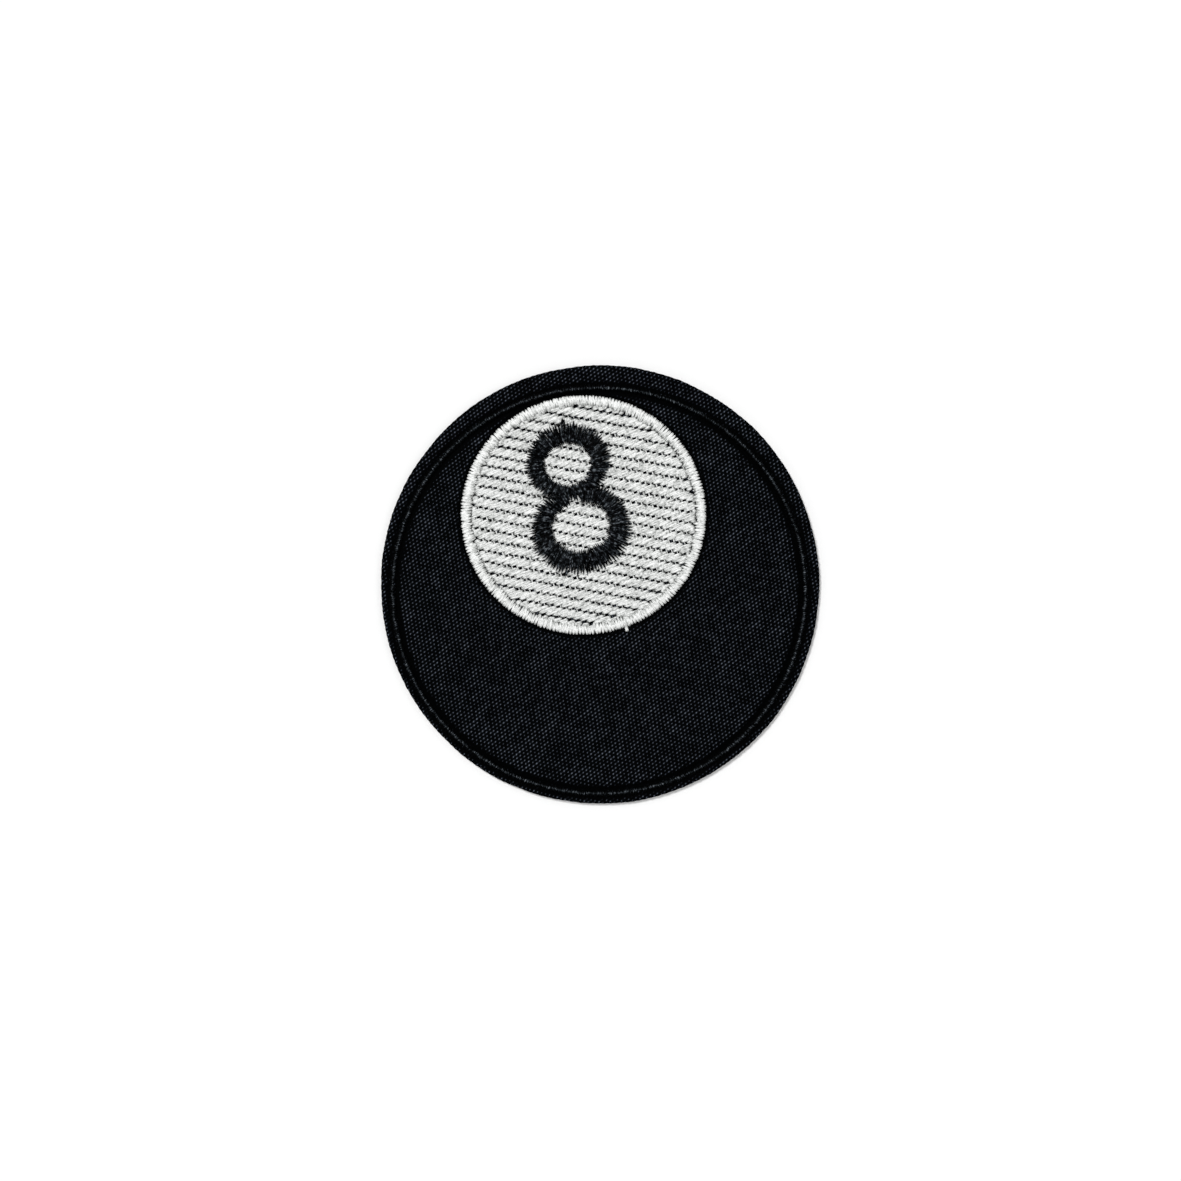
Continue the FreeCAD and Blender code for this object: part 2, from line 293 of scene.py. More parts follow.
def set_ramp(node, shades):
    """Give a colour ramp its colours, each with its place from 0 to 1."""
    elements = node.color_ramp.elements
    while len(elements) < len(shades):
        elements.new(0.5)
    for element, (place, colour) in zip(elements, shades):
        element.position = place
        element.color = (*colour, 1)


class Nodes:
    """Small help for writing a material's nodes."""

    def __init__(self, name):
        self.material = bpy.data.materials.new(name)
        self.material.use_nodes = True
        self.tree = self.material.node_tree
        self.shader = self.tree.nodes["Principled BSDF"]

    def add(self, kind, inputs=(), **settings):
        """A node with its settings and its inputs, by name or number."""
        node = self.tree.nodes.new(kind)
        for key, value in settings.items():
            setattr(node, key, value)
        for key, value in dict(inputs).items():
            self.put(node.inputs[key], value)
        return node

    def put(self, socket, value):
        """Link a socket, or set the value of its own."""
        if isinstance(value, bpy.types.NodeSocket):
            self.tree.links.new(value, socket)
        else:
            socket.default_value = value

    def sum(self, operation, first, second=0.0, third=0.0):
        node = self.add("ShaderNodeMath", {0: first, 1: second, 2: third}, operation=operation)
        return node.outputs[0]

    def swing(self, value, by, amount):
        """value, moved by amount in all as by goes from 0 to 1, and not moved at a half."""
        return self.sum("MULTIPLY_ADD", by, amount, self.sum("ADD", value, -amount / 2))

    def attribute(self, name):
        return self.add("ShaderNodeAttribute", attribute_name=name, attribute_type="GEOMETRY")

    def place(self):
        """The place on the patch, in metres."""
        return self.add("ShaderNodeTexCoord").outputs["Object"]

    def vector(self, x, y, z=0.0):
        return self.add("ShaderNodeCombineXYZ", {"X": x, "Y": y, "Z": z}).outputs[0]

    def ramp(self, value, shades):
        node = self.add("ShaderNodeValToRGB", {"Fac": value})
        set_ramp(node, shades)
        return node.outputs["Color"]

    def noise(self, vector, scale, detail=2.0, roughness=0.5):
        inputs = {"Vector": vector, "Scale": scale, "Detail": detail, "Roughness": roughness}
        return self.add("ShaderNodeTexNoise", inputs).outputs["Fac"]

    def between(self, value, low, high):
        node = self.add("ShaderNodeMapRange", {"Value": value, "To Min": low, "To Max": high})
        return node.outputs["Result"]

    def bump(self, height, strength, distance):
        inputs = {"Height": height, "Strength": strength, "Distance": distance}
        return self.add("ShaderNodeBump", inputs).outputs["Normal"]

    def finish(self, **values):
        for key, value in values.items():
            self.put(self.shader.inputs[key.replace("_", " ")], value)
        return self.material


# Shares of a float's height, and the cloth's colour painted there: painted shade in the
# valleys between the floats and a painted highlight on their crests.
TWILL_SHADES = [
    (0.24, (0.0002, 0.0003, 0.0004)),
    (0.50, (0.0044, 0.0054, 0.0074)),
    (0.76, (0.060, 0.071, 0.092)),
    (1.00, (0.210, 0.235, 0.275)),
]

# How many speckles of light, painted as glints, a thread has to the metre, and the level of
# its painted light at which its painted highlight and shade make it no lighter or darker.
SPECKLES = 1700.0
NEUTRAL_PAINTED_LIGHT = 0.8


def thread_material(name, shades, uneven, speckle, crest, roughness, sheen, tint, specular):
    """Twisted filament thread. shades are its colours from the darkest to the lightest, each
    with its place on a scale from 0 to 1. uneven is how much one stitch differs from the next,
    speckle how strong the speckles of light painted on it as glints are, and crest how much
    lighter its colour is painted where its painted light is high, as a highlight, and darker
    where it is low, as shade."""
    n = Nodes(name)
    strand = n.attribute("strand").outputs["Vector"]
    along, around, own = n.add("ShaderNodeSeparateXYZ", {0: strand}).outputs
    phase = n.sum("MULTIPLY", own, PLY_PHASE)
    turned = n.sum("MULTIPLY_ADD", along, PLY_TURN / (4 * math.pi), around)
    filament_place = n.vector(n.sum("MULTIPLY", along, 1.6), n.sum("MULTIPLY", turned, 5.0), phase)
    filaments = n.noise(filament_place, 1.6, 4.0, 0.6)
    turn = n.sum("MULTIPLY_ADD", along, PLY_TURN, phase)
    plies = n.sum("SINE", n.sum("MULTIPLY_ADD", around, 4 * math.pi, turn))
    # light is each point's painted light, which paints highlight and shade into the colour below.
    light = n.sum("POWER", n.attribute("open_to_light").outputs["Fac"], 1.1)
    # broken paints speckles of light, as glints, at random over the patch.
    broken = n.noise(n.place(), SPECKLES, 2.0, 0.6)
    # The plies paint a faint highlight on their bulges and shade in the grooves between them.
    value = n.sum("MULTIPLY_ADD", plies, 0.09, n.sum("MULTIPLY_ADD", filaments, 1.4, -0.2))
    value = n.swing(value, own, uneven)
    value = n.swing(value, broken, speckle)
    # Painted highlight and shade: lighter by crest where the painted light is high, darker where it
    # is low.
    value = n.sum("MULTIPLY_ADD", light, crest, n.sum("ADD", value, -NEUTRAL_PAINTED_LIGHT * crest))
    relief = n.sum("MULTIPLY_ADD", plies, 0.45, filaments)
    return n.finish(
        Base_Color=n.ramp(value, shades),
        Roughness=n.between(filaments, roughness[0], roughness[1]),
        Specular_IOR_Level=specular,
        Sheen_Weight=sheen,
        Sheen_Roughness=0.45,
        Sheen_Tint=(*tint, 1),
        Normal=n.bump(relief, 0.6, 0.00005),
    )


def twill_material():
    """Black polyester twill. The weave map gives each point's place on its float. Its colour is
    painted lighter towards a float's crest, as a highlight, and darker in the valleys, as shade.
    """
    n = Nodes("twill")
    weave = n.attribute("weave").outputs["Vector"]
    crest, along, across = n.add("ShaderNodeSeparateXYZ", {0: weave}).outputs
    fibre_place = n.vector(n.sum("MULTIPLY", along, 0.9), n.sum("MULTIPLY", across, 6.5))
    fibres = n.noise(fibre_place, 1.5, 4.0, 0.65)
    bands = n.noise(n.place(), 260.0, 2.0, 0.5)
    this_float = n.vector(n.sum("FLOOR", along), n.sum("ROUND", across))
    own = n.add("ShaderNodeTexWhiteNoise", {"Vector": this_float}).outputs["Value"]
    value = n.sum("MULTIPLY_ADD", fibres, 0.70, n.sum("MULTIPLY_ADD", bands, 0.20, -0.45))
    value = n.swing(value, own, 0.22)
    # Painted highlight on the floats' crests and painted shade between them.
    painted_float_light = n.sum("MULTIPLY_ADD", crest, 0.95, n.sum("ADD", value, -0.08))
    return n.finish(
        Base_Color=n.ramp(painted_float_light, TWILL_SHADES),
        Roughness=n.between(fibres, 0.50, 0.74),
        Specular_IOR_Level=0.01,
        Sheen_Weight=0.001,
        Sheen_Roughness=0.5,
        Sheen_Tint=(0.72, 0.86, 0.90, 1),
        Normal=n.bump(fibres, 0.6, 0.00004),
    )


def plain_fibre_material(name, dark, light, scale, roughness):
    """A matt mat of short fibres pressed together, such as non-woven backing."""
    n = Nodes(name)
    stretched = n.add("ShaderNodeMapping", {"Vector": n.place(), "Scale": (1.0, 0.35, 1.0)})
    fibres = n.noise(stretched.outputs[0], scale, 6.0, 0.7)
    colour = n.ramp(fibres, [(0.32, dark), (0.68, light)])
    return n.finish(
        Base_Color=colour,
        Roughness=roughness,
        Specular_IOR_Level=0.3,
        Normal=n.bump(fibres, 0.7, 0.00006),
    )


def film_material():
    """Milky hot-melt film: smooth, a little wavy, with small bubbles, and whiter where bobbin
    threads press through it."""
    n = Nodes("film")
    waves = n.noise(n.place(), 160.0, 3.0, 0.5)
    cells = n.add("ShaderNodeTexVoronoi", {"Vector": n.place(), "Scale": 900.0}, feature="F1")
    bubbles = cells.outputs["Distance"]
    pressed = n.sum("MULTIPLY", n.attribute("pressed").outputs["Fac"], 0.55)
    tone = n.sum("MULTIPLY_ADD", waves, 0.45, pressed)
    colour = n.ramp(tone, [(0.1, (0.42, 0.42, 0.405)), (0.8, (0.70, 0.70, 0.68))])
    height = n.sum("MULTIPLY_ADD", bubbles, 0.3, waves)
    return n.finish(
        Base_Color=colour,
        Roughness=n.between(waves, 0.28, 0.42),
        Specular_IOR_Level=0.5,
        Coat_Weight=0.25,
        Coat_Roughness=0.3,
        Normal=n.bump(height, 0.4, 0.00008),
    )


def floor_material():
    n = Nodes("floor")
    tone = n.noise(n.place(), 3.0, 2.0)
    colour = n.ramp(tone, [(0.3, (0.95, 0.95, 0.95)), (0.7, (0.97, 0.97, 0.97))])
    return n.finish(Base_Color=colour, Roughness=0.9, Specular_IOR_Level=0.1)


WHITE_SHADES = [
    (0.22, (0.20, 0.206, 0.20)),
    (0.46, (0.56, 0.575, 0.56)),
    (0.74, (0.94, 0.95, 0.94)),
]
BLACK_SHADES = [
    (0.40, (0.0001, 0.0002, 0.0003)),
    (0.60, (0.0006, 0.0008, 0.0010)),
    (0.84, (0.022, 0.027, 0.032)),
    (1.00, (0.130, 0.146, 0.162)),
]
BOBBIN_SHADES = [
    (0.25, (0.40, 0.40, 0.38)),
    (0.50, (0.66, 0.66, 0.63)),
    (0.75, (0.82, 0.82, 0.79)),
]
WHITE = (1.0, 1.0, 1.0)
BLUISH = (0.75, 0.86, 0.92)
WHITE_THREAD = thread_material(
    "white_thread", WHITE_SHADES, uneven=0.14, speckle=0.55, crest=0.34,
    roughness=(0.38, 0.62), sheen=0.05, tint=WHITE, specular=0.35,
)
BLACK_THREAD = thread_material(
    "black_thread", BLACK_SHADES, uneven=0.30, speckle=1.45, crest=0.36,
    roughness=(0.30, 0.52), sheen=0.001, tint=BLUISH, specular=0.02,
)
# The outline ring's thread: the black thread with less uneven tone and speckle, and with a stronger
# painted highlight and shade.
OUTLINE_THREAD = thread_material(
    "outline_thread", BLACK_SHADES, uneven=0.16, speckle=0.60, crest=0.62,
    roughness=(0.30, 0.52), sheen=0.001, tint=BLUISH, specular=0.02,
)
BOBBIN_THREAD = thread_material(
    "bobbin_thread", BOBBIN_SHADES, uneven=0.12, speckle=0.20, crest=0.30,
    roughness=(0.5, 0.7), sheen=0.1, tint=WHITE, specular=0.3,
)
TWILL = twill_material()
STABILISER = plain_fibre_material(
    "stabiliser", dark=(0.010, 0.010, 0.012), light=(0.045, 0.046, 0.050), scale=1500.0,
    roughness=0.85,
)
FILM = film_material()


# --- Cloth ----------------------------------------------------------------------------------

# The weave repeats on a skewed grid. One float lies along FLOAT_STEP, and the next diagonal of
# floats starts DIAGONAL_STEP away. The cuts are the cells of the mesh along each of the two.
FLOAT_STEP = np.array([0.5716, 0.4503])
DIAGONAL_STEP = np.array([0.107, -0.637])
FLOAT_CUTS = 3
DIAGONAL_CUTS = 4
# How high a float stands, and the share of that by which it dips at its ends.
FLOAT_RELIEF = 0.085
FLOAT_END_SHARE = 0.62
# How far the cut edge wavers, how far the cloth falls there, and how near to the cut a point of
# the weave's grid may come before it is moved onto it.
EDGE_WAVER = 0.10
RIM_FALL = 0.16
CUT_SLACK = 0.02
# Half the thickness of the fused bead round the edge, and the length of its markings.
BEAD_DEPTH = 0.10
BEAD_MARK = 0.7


def cut_radius(angle):
    """The heat-cut outline: round, with the faint flats and lumps of a cut made by hand."""
    waver = (
        0.45 * np.sin(9 * angle + 1.3) ** 3
        + 0.30 * np.sin(17 * angle + 0.4) ** 5
        + 0.25 * np.sin(31 * angle + 2.2) ** 7
        - 0.50 * (0.5 + 0.5 * np.sin(197 * angle + 4 * np.sin(13 * angle)))
    )
    return RADIUS - EDGE_WAVER + EDGE_WAVER * waver


def dent(distance, depth, width):
    """A furrow that stitches pull into the cloth beside them."""
    return -depth * np.exp(-((distance / width) ** 2))


def distances(points):
    """How far points are outside the outline ring's inner edge and the spot's outer edge."""
    outline_distance = (outline_inner.depth(points) - 1) * outline_inner.half.mean()
    spot_distance = (spot_outer.depth(points) - 1) * spot_outer.half.mean()
    return outline_distance, spot_distance


def cloth_height(points):
    """The lie of the cloth under its weave: furrows beside the stitching and a soft rim."""
    x, y = points[:, 0], points[:, 1]
    waves = 0.020 * np.sin(0.9 * x + 0.35 * y) + 0.018 * np.sin(0.5 * y - 0.8 * x + 1.0)
    outline_distance, spot_distance = distances(points)
    height = dent(outline_distance + 0.15, depth=0.14, width=0.42)
    height += dent(spot_distance - 0.1, depth=0.12, width=0.5)
    height += dent(outline_distance - OUTLINE_COLUMN - 0.1, depth=0.08, width=0.35)
    edge = RADIUS - np.hypot(x, y)
    height -= RIM_FALL * np.exp(-np.clip(edge, 0, None) / 0.35)
    return FACE - FLOAT_RELIEF / 2 - 0.02 + waves * np.clip(edge / 2, 0, 1) + height


def drawn_down_and_shaded(points):
    """How far the stitches beside a place draw the cloth's floats down, from 0 to 1. The same
    share darkens the cloth's painted light there, as painted shade.
    """
    outline_distance, spot_distance = distances(points)
    within = -dent(outline_distance + 0.30, depth=1.0, width=0.42)
    beyond = -dent(outline_distance - OUTLINE_COLUMN - 0.25, depth=0.8, width=0.32)
    beside_spot = -dent(spot_distance - 0.25, depth=0.7, width=0.35)
    return np.clip(within + beyond + beside_spot, 0, 1)


def woven_grid():
    """Points of the weave's grid over the disc, with their place on the float and on the cloth."""
    reach = math.ceil(RADIUS / np.linalg.norm(DIAGONAL_STEP)) + 4
    along = np.arange(-reach * FLOAT_CUTS * 2, reach * FLOAT_CUTS * 2) / FLOAT_CUTS
    across = np.arange(-reach * DIAGONAL_CUTS * 2, reach * DIAGONAL_CUTS * 2) / DIAGONAL_CUTS
    p, q = np.meshgrid(along, across, indexing="ij")
    flat = p[..., None] * FLOAT_STEP + q[..., None] * DIAGONAL_STEP
    return p, q, flat


def make_twill():
    """The cloth: its woven face, its edge and its flat back."""
    p, q, flat = woven_grid()
    radius = np.hypot(flat[..., 0], flat[..., 1])
    angle = np.arctan2(flat[..., 1], flat[..., 0])
    limit = cut_radius(angle)
    inside = radius < limit - CUT_SLACK
    a, b = inside[:-1, :-1], inside[1:, :-1]
    c, d = inside[1:, 1:], inside[:-1, 1:]
    cell = a | b | c | d
    index = np.arange(p.size).reshape(p.shape)
    quads = np.stack(
        [index[:-1, :-1][cell], index[:-1, 1:][cell], index[1:, 1:][cell], index[1:, :-1][cell]], -1
    )
    used, quads = np.unique(quads, return_inverse=True)
    quads = quads.reshape(-1, 4)
    flat, p, q = flat.reshape(-1, 2)[used], p.ravel()[used], q.ravel()[used]
    radius, limit = radius.ravel()[used], limit.ravel()[used]
    shrink = np.where(radius > limit - CUT_SLACK, limit / np.maximum(radius, CUT_SLACK), 1.0)
    flat = flat * shrink[:, None]
    crest_across = 0.5 + 0.5 * np.cos(2 * math.pi * q)
    crest_along = 1 - FLOAT_END_SHARE * (0.5 - 0.5 * np.cos(2 * math.pi * p))
    # crest raises each float and paints the cloth lighter on it, as a highlight; near the stitches
    # it is lower, which flattens the floats and paints shade there.
    crest = crest_across**0.8 * crest_along * (1 - 0.75 * drawn_down_and_shaded(flat))
    uneven = 1 + 0.35 * np.sin(7.1 * np.round(q) + 3.3 * np.round(p)) * crest_across
    height = cloth_height(flat) + FLOAT_RELIEF * (crest * uneven - 0.5)
    top = np.column_stack([flat, height])

    edges = np.concatenate([quads[:, [0, 1]], quads[:, [1, 2]], quads[:, [2, 3]], quads[:, [3, 0]]])
    _, first, uses = np.unique(np.sort(edges, 1), axis=0, return_index=True, return_counts=True)
    rim = edges[first[uses == 1]]
    rim_points = np.unique(rim)
    below = {point: len(top) + k for k, point in enumerate(rim_points.tolist())}
    bottom = np.column_stack([flat[rim_points], np.full(len(rim_points), CLOTH_BACK)])
    middle = len(top) + len(bottom)
    points = np.concatenate([top, bottom, [[0, 0, CLOTH_BACK]]])
    walls = [[t, s, below[s], below[t]] for s, t in rim.tolist()]
    back = [[below[t], below[s], middle] for s, t in rim.tolist()]
    extra = len(points) - len(top)
    weave = np.column_stack([crest, p, q])
    weave = np.concatenate([weave, np.zeros((extra, 3))])
    twill = make_piece(
        "twill_cloth", points, quads.tolist() + walls + back, "twill", TWILL, weave=weave
    )
    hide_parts("twill_face")


def make_cut_edge():
    """The fused bead that the hot knife leaves round the cloth."""
    count, sides = 1100, 10
    angle = np.arange(count) * 2 * math.pi / count
    turn = np.arange(sides) * 2 * math.pi / sides
    lumps = 0.18 * np.sin(140 * angle + 3 * np.sin(11 * angle))
    bead = 1 + lumps + 0.12 * random.normal(size=count)
    low = corners("stabiliser")[0][2] + 0.05
    high = FACE - RIM_FALL
    middle, tall = (low + high) / 2, (high - low) / 2
    out = cut_radius(angle)[:, None] - BEAD_DEPTH + BEAD_DEPTH * bead[:, None] * np.cos(turn)
    height = middle + (tall + 0.03 * bead[:, None]) * np.sin(turn)
    points = np.stack(
        [out * np.cos(angle)[:, None], out * np.sin(angle)[:, None], height], -1
    ).reshape(-1, 3)
    i, j = np.meshgrid(np.arange(count), np.arange(sides), indexing="ij")
    nxt, up = (i + 1) % count, (j + 1) % sides
    quads = np.stack([i * sides + j, nxt * sides + j, nxt * sides + up, i * sides + up], -1)
    weave = np.zeros((len(points), 3))
    weave[:, 1] = np.repeat(angle * RADIUS / BEAD_MARK, sides)
    weave[:, 2] = np.tile(turn, count)
    quads = quads.reshape(-1, 4).tolist()
    make_piece("cut_edge", points, quads, "twill", TWILL, weave=weave)


# --- Stitching ------------------------------------------------------------------------------

# For each column: its stitches, the steps of one stitch, the heights of the stitches' middles at
# the column's inner and outer edge, and their height at its crest.
OUTLINE_STITCHES = 640
OUTLINE_STEPS = 9
OUTLINE_BASE = (FACE - 0.16, FACE - 0.12)
OUTLINE_CREST = OUTLINE_TOP - 0.13
BORDER_STITCHES = 460
BORDER_STEPS = 13
BORDER_BASE = (FILL_TOP - 0.15, FACE - 0.10)
BORDER_CREST = BORDER_TOP - 0.15
UPPER_STITCHES = 172
LOWER_STITCHES = 200
NUMERAL_STEPS = 12
NUMERAL_BASE = (FILL_TOP - 0.12, FILL_TOP - 0.12)
NUMERAL_CREST = NUMERAL_TOP - 0.13
# The border starts and ends here, at its lock stitches.
BORDER_START = math.radians(-70)


def make_satin(
    name, node, lines, half_width, half_height, material, slot, taper=(0.5, 0.16), light=None
):
    """A column of satin stitches along their centre lines."""
    count, steps = lines.shape[:2]
    threads = tubes(
        lines, half_width, half_height, end_taper(steps, count, *taper), ply=0.13, light=light
    )
    make_threads(name, node, threads, slot, material)


def make_outline_ring():
    lines = satin_lines(
        outline_outer, outline_inner, OUTLINE_STITCHES, OUTLINE_STEPS, OUTLINE_BASE,
        OUTLINE_CREST, teeth=(0.08, 0.10), roundness=2.2, sway=0.02,
    )
    width = random.uniform(0.15, 0.20, (OUTLINE_STITCHES, 1))
    # Each stitch's colour is painted lightest along its middle, as a highlight, and darker towards
    # its ends, as shade.
    make_satin(
        "outline_threads", "outline_satin", lines, width, 0.13, OUTLINE_THREAD, "black_thread",
        light=1.25 * np.sin(math.pi * stops(OUTLINE_STEPS)) ** 2,
    )


def make_border():
    lines = satin_lines(
        spot_outer, spot_inner.grown(0.12), BORDER_STITCHES, BORDER_STEPS, BORDER_BASE,
        BORDER_CREST, teeth=(0.34, 0.07), start=BORDER_START, roundness=1.9, sway=0.04,
        slant=0.35,
    )
    width = random.uniform(0.17, 0.22, (BORDER_STITCHES, 1))
    # Its colour is painted lightest a little outside its middle, as a highlight on its crest,
    # and darker towards both its ends, as shade.
    crest = np.sin(math.pi * stops(BORDER_STEPS) ** 1.5)
    make_satin(
        "border_threads", "border_satin", lines, width, 0.15, WHITE_THREAD, "white_thread",
        taper=(0.6, 0.20), light=0.50 + 0.80 * np.clip(crest, 0, 1) ** 0.8,
    )


# The fill's lines of stitches: their direction, how far apart they are, a stitch's length, and
# how far each line's needle holes lie back from those of the line below it.
FILL_ANGLE = math.radians(17.3)
LINE_PITCH = 0.554
STITCH_LENGTH = 3.97
LINE_OFFSET = 1.074
FILL_STEPS = 14
# A stitch stops this far from the middle of its needle hole, and is down in it this soon.
HOLE_SHARE = 0.40
HOLE_REACH = 0.62
HOLE_DEPTH = FACE - 0.16
# No needle hole is nearer than this to the end of its line.
SHORTEST_STITCH = 0.5


def fill_spans():
    """Ends of every stitch of the fill, as (start, end) points of the plane."""
    along, upwards = axes(FILL_ANGLE)
    reach = math.ceil(fill_edge.half.max() / LINE_PITCH)
    spans = []
    for line in range(-reach, reach + 1):
        middle = fill_edge.centre + upwards * line * LINE_PITCH
        walk = np.linspace(-1, 1, 2001) * fill_edge.half.max() * 1.05
        held = walk[fill_edge.depth(middle + walk[:, None] * along) < 1]
        if len(held) < 2:
            continue
        phase = (-line * LINE_OFFSET) % STITCH_LENGTH
        first = math.ceil((held[0] - phase) / STITCH_LENGTH)
        last = math.floor((held[-1] - phase) / STITCH_LENGTH)
        holes = [phase + k * STITCH_LENGTH for k in range(first, last + 1)]
        low, high = held[0] + SHORTEST_STITCH, held[-1] - SHORTEST_STITCH
        needles = [held[0]] + [hole for hole in holes if low < hole < high] + [held[-1]]
        for start, end in zip(needles[:-1], needles[1:]):
            spans.append([middle + along * start, middle + along * end])
    return np.array(spans), upwards


def make_fill():
    """Every stitch of the fill, as two threads side by side."""
    spans, upwards = fill_spans()
    run = spans[:, 1] - spans[:, 0]
    run /= np.linalg.norm(run, axis=1, keepdims=True)
    spans = np.stack([spans[:, 0] + run * HOLE_SHARE, spans[:, 1] - run * HOLE_SHARE], 1)
    count = len(spans)
    s = stops(FILL_STEPS)
    plies = []
    for side in (-1, 1):
        ends = spans + random.normal(0, 0.05, (count, 2, 2))
        flat = ends[:, :1] + (ends[:, 1:] - ends[:, :1]) * s[None, :, None]
        length = np.linalg.norm(spans[:, 1] - spans[:, 0], axis=1)[:, None]
        near = np.clip(np.minimum(s, 1 - s)[None, :] * length / HOLE_REACH, 0, 1)
        spread = 0.04 + 0.105 * np.sin(near * math.pi / 2)
        spread = spread + 0.02 * np.sin(s[None, :] * 9 + random.uniform(0, 6, (count, 1)))
        flat = flat + side * spread[..., None] * upwards
        lift = random.uniform(-0.03, 0.03, (count, 1))
        high = FILL_TOP - 0.15 + lift
        height = HOLE_DEPTH + (high - HOLE_DEPTH) * np.sin(near * math.pi / 2)
        plies.append(np.concatenate([flat, height[..., None]], -1))
    lines = np.concatenate(plies)
    taper = end_taper(FILL_STEPS, len(lines), ends=0.34, share=0.15)
    width = random.uniform(0.21, 0.26, (len(lines), 1))
    threads = tubes(lines, width, 0.15, taper, sides=6, ply=0.12)
    make_threads("fill_threads", "fill_stitches", threads, "white_thread", WHITE_THREAD)


# How much bigger than its solid's a loop's outer edge and its counter are, on average.
STROKE_EASE = 0.15
COUNTER_EASE = -0.02
# The threads pull the loops this far from where the solids have them.
NUMERAL_PULL = np.array([0.0, -0.15])
# The lower loop has no stitch whose middle lies further than this inside the upper loop's edge,
# which is at 1.
UPPER_COVER = 0.93


def make_numeral_loop(name, node, outer, counter, count, upper=None):
    """One loop of the numeral. It stops against the upper loop, if that is given."""
    lines = satin_lines(
        outer.grown(STROKE_EASE), counter.grown(COUNTER_EASE), count, NUMERAL_STEPS,
        NUMERAL_BASE, NUMERAL_CREST, teeth=(0.26, 0.30), roundness=2.6, sway=0.05,
    )
    lines[:, :, :2] += NUMERAL_PULL
    if upper is not None:
        middle = lines[:, NUMERAL_STEPS // 2 - 1, :2]
        lines = lines[upper.depth(middle) > UPPER_COVER]
    width = random.uniform(0.155, 0.205, (len(lines), 1))
    make_satin(
        name, node, lines, width, 0.14, BLACK_THREAD, "black_thread", taper=(0.05, 0.26, True)
    )


def make_numeral():
    make_numeral_loop(
        "upper_loop_threads", "numeral_upper_loop", upper_outer, upper_counter, UPPER_STITCHES
    )
    make_numeral_loop(
        "lower_loop_threads", "numeral_lower_loop", lower_outer, lower_counter, LOWER_STITCHES,
        upper=upper_outer,
    )


# A knot's threads, and the steps of one of them.
KNOT_THREADS = 5
KNOT_STEPS = 9


def make_knot(name, node, places, level, material, slot):
    """Lock stitches: a few short threads laid over one another where a column starts or ends."""
    lines = []
    for place, facing in places:
        for k in range(KNOT_THREADS):
            step, _ = axes(facing + random.uniform(-0.7, 0.7))
            middle = place + random.normal(0, 0.10, 2)
            s = np.linspace(-1, 1, KNOT_STEPS)
            flat = middle + s[:, None] * step * random.uniform(0.40, 0.62)
            height = level + (0.12 + 0.035 * k) * (1 - s**2) ** 0.6
            lines.append(np.column_stack([flat, height]))
    lines = np.array(lines)
    threads = tubes(lines, 0.13, 0.10, end_taper(KNOT_STEPS, len(lines)), ply=0.12)
    make_threads(name, node, threads, slot, material)


def make_knots():
    place = centre_and_half("border_tie_off")[0]
    make_knot(
        "border_knot", "border_tie_off", [(place, BORDER_START)], FACE, WHITE_THREAD,
        "white_thread",
    )
    top = upper_outer.grown(0.1).at(math.radians(88))
    bottom = lower_outer.grown(0.1).at(math.radians(244))
    make_knot(
        "numeral_knots", "numeral_tie_offs", [(top, math.radians(75)), (bottom, math.radians(235))],
        FILL_TOP, BLACK_THREAD, "black_thread",
    )


# --- Layers and threads under the cloth -----------------------------------------------------

# How far a column's bobbin thread presses into the film, and over what width.
BACK_RELIEF = 0.07
BACK_WIDTH = 0.45
# A hidden zigzag's stitches lie this far apart.
RUN_PITCH = 0.60
# The steps of one hidden stitch, and of one hidden line under the fill. There are never more
# such lines than this on either side of the middle one.
RUN_STEPS = 5
FILL_RUN_STEPS = 24
FILL_RUN_LINES = 60
# The points round a layer's outline.
LAYER_CUTS = 720


def between(outer, inner, share):
    """The oval that lies share of the way from the inner edge of a column to its outer one."""
    centre = inner.centre + (outer.centre - inner.centre) * share
    return Oval(centre, inner.half + (outer.half - inner.half) * share, outer.lean)


def back_relief(points):
    """How far the bobbin threads press the film down, in millimetres."""
    relief = np.zeros(len(points))
    columns = [
        (outline_outer, outline_inner),
        (spot_outer, spot_inner),
        (upper_outer, upper_counter),
        (lower_outer, lower_counter),
    ]
    for outer, inner in columns:
        middle = between(outer, inner, 0.5)
        distance = (middle.depth(points) - 1) * middle.half.mean()
        relief = np.maximum(relief, BACK_RELIEF * np.exp(-((distance / BACK_WIDTH) ** 2)))
    return relief


